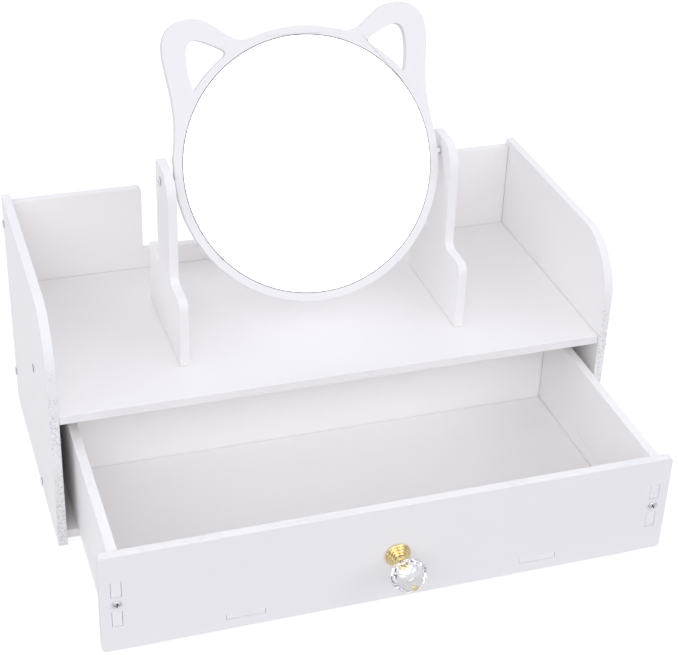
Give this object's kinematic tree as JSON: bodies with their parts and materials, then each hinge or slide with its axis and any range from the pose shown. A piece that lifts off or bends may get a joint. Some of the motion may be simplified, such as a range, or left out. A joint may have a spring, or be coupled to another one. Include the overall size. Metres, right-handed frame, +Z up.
{
  "type": "vanity table with mirror",
  "caption": "Desktop vanity cabinet of white board with a full-width drawer, open shelves and a tilting round mirror framed with cat ears.",
  "frame": {"origin": "centre of the bounding box at the bottom, with the drawer open as at rest: the surface the cabinet stands on", "axes": "+X along the cabinet's width, to the right for a person facing it; +Y from the drawer front to the back panel; +Z up"},
  "size_m": [0.5036, 0.4228, 0.3998],
  "materials": {
    "white_board": "satin white foam board with a slightly porous sawn edge",
    "mirror_glass": "silvered glass",
    "gold_metal": "polished gold-coloured plating",
    "screw_steel": "bright zinc plating",
    "clear_crystal": "clear with polished facets"
  },
  "bodies": {
    "cabinet": {"left_side_panel": "white_board", "right_side_panel": "white_board", "back_panel": "white_board", "table_top": "white_board", "bottom_panel": "white_board", "left_mirror_post": "white_board", "right_mirror_post": "white_board", "left_back_upper_screw": "screw_steel", "left_back_lower_screw": "screw_steel", "left_top_screw": "screw_steel", "left_bottom_screw": "screw_steel", "right_back_upper_screw": "screw_steel", "right_back_lower_screw": "screw_steel", "right_top_screw": "screw_steel", "right_bottom_screw": "screw_steel", "left_post_front_screw": "screw_steel", "left_post_rear_screw": "screw_steel", "right_post_front_screw": "screw_steel", "right_post_rear_screw": "screw_steel"},
    "drawer": {"drawer_front": "white_board", "drawer_left_side": "white_board", "drawer_right_side": "white_board", "drawer_back": "white_board", "drawer_floor": "white_board", "drawer_front_left_screw": "screw_steel", "drawer_front_right_screw": "screw_steel", "drawer_back_left_screw": "screw_steel", "drawer_back_right_screw": "screw_steel", "knob_rosette": "gold_metal", "knob_stem": "gold_metal", "knob_crystal": "clear_crystal", "knob_screw": "screw_steel"},
    "mirror": {"mirror_frame": "white_board", "mirror_glass": "mirror_glass", "left_pivot_screw": "screw_steel", "right_pivot_screw": "screw_steel", "left_pivot_nut": "screw_steel", "right_pivot_nut": "screw_steel"}
  },
  "joints": [
    {"name": "drawer_slide", "type": "slide", "parent": "cabinet", "child": "drawer", "axis": [0, -1, 0], "range_m": [-0.15, 0.04]},
    {"name": "mirror_tilt", "type": "hinge", "parent": "cabinet", "child": "mirror", "pos_m": [0, 0.0904, 0.2782], "axis": [1, 0, 0], "continuous": true}
  ]
}
